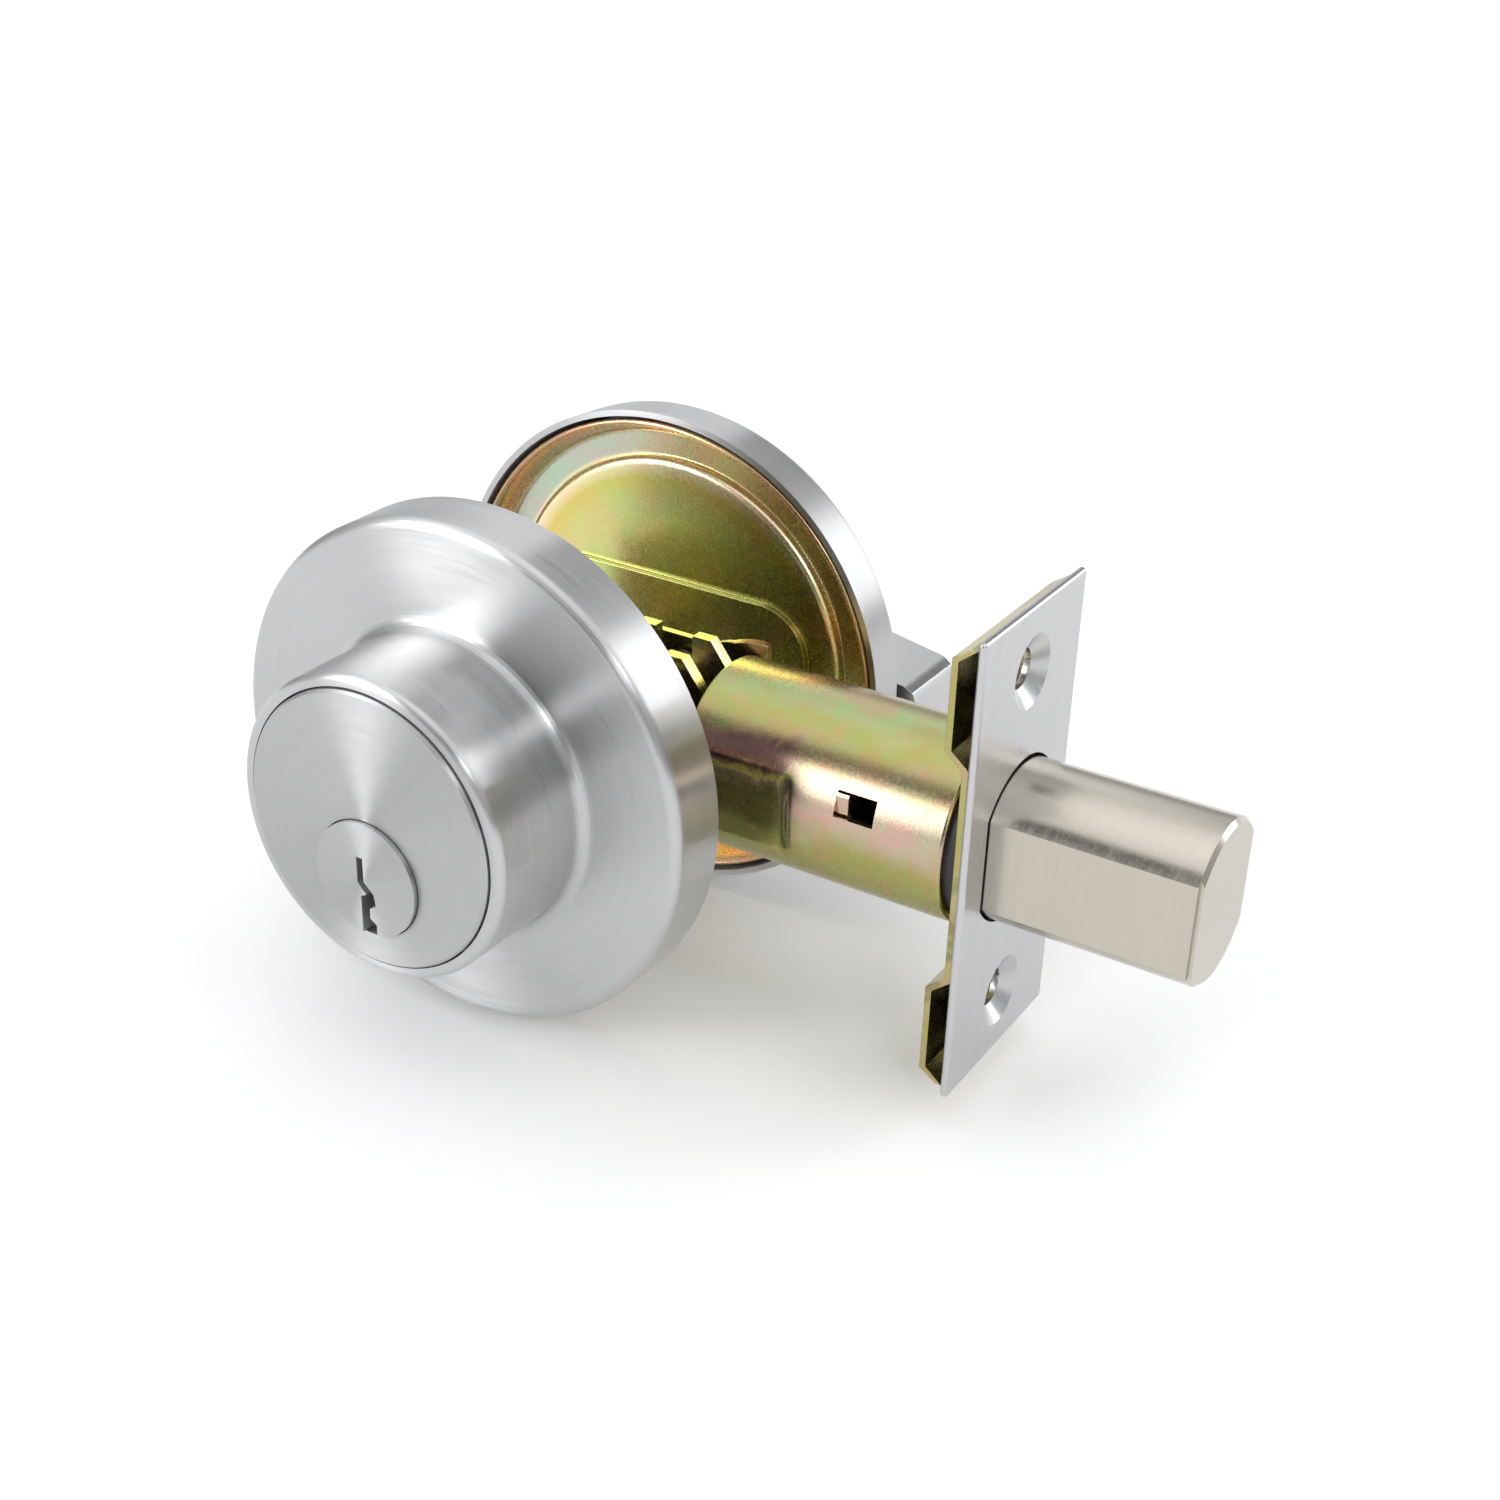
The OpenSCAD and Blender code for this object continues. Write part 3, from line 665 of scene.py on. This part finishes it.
# Patches of the sky: turn from and to and rise from and to, and their soft edge, all in degrees, with
# turn 0 at -Y and 90 at +X, and then the brightness that each adds
SKY_PATCHES = [
    (-52, -25, 4, 33, 3, 7.0),
    (-50, -15, 38, 55, 4, -1.1),
    (-18, 28, -8, 36, 3, -0.7),
    (37, 52, 26, 38, 3, 7.5),
    (132, 156, 3, 36, 4, 3.4),
    (160, 181, 28, 60, 5, -0.85),
    (-181, -164, 28, 60, 5, -0.85),
    (-165, -142, 18, 40, 5, 0.35),
]


def add_world():
    """A studio sky by direction: grey walls that brighten upwards, with bright and dark patches."""
    world = bpy.data.worlds.new("studio")
    bpy.context.scene.world = world
    world.use_nodes = True
    tree = world.node_tree
    add = node_adder(tree)

    def math_node(operation, a, b=0.0):
        return add("ShaderNodeMath", {0: a, 1: b}, operation=operation).outputs[0]

    def window(value, low, high, soft):
        """1 between low and high, falling smoothly to 0 over soft on both sides."""
        up = add(
            "ShaderNodeMapRange",
            {"Value": value, "From Min": low - soft, "From Max": low + soft},
            interpolation_type="SMOOTHSTEP",
        ).outputs[0]
        down = add(
            "ShaderNodeMapRange",
            {"Value": value, "From Min": high - soft, "From Max": high + soft, "To Min": 1.0, "To Max": 0.0},
            interpolation_type="SMOOTHSTEP",
        ).outputs[0]
        return math_node("MULTIPLY", up, down)

    place = add("ShaderNodeTexCoord").outputs["Generated"]
    xyz = add("ShaderNodeSeparateXYZ", {0: place})
    front = math_node("MULTIPLY", xyz.outputs["Y"], -1.0)
    turn = math_node("MULTIPLY", math_node("ARCTAN2", xyz.outputs["X"], front), 180 / math.pi)
    rise = math_node("MULTIPLY", math_node("ARCSINE", xyz.outputs["Z"]), 180 / math.pi)
    level = add(
        "ShaderNodeMapRange",
        {"Value": rise, "From Min": 0.0, "From Max": 90.0, "To Min": WALL_LOW, "To Max": WALL_TOP},
    ).outputs[0]
    for turn_from, turn_to, rise_from, rise_to, soft, gain in SKY_PATCHES:
        patch = math_node(
            "MULTIPLY", window(turn, turn_from, turn_to, soft), window(rise, rise_from, rise_to, soft)
        )
        level = math_node("ADD", level, math_node("MULTIPLY", patch, gain))
    level = math_node("MAXIMUM", level, 0.02)
    background = tree.nodes["Background"]
    tree.links.new(level, background.inputs["Strength"])
    background.inputs["Color"].default_value = (0.985, 0.99, 1.0, 1)


add_world()
add_floor()
bpy.context.scene.view_settings.view_transform = "Standard"
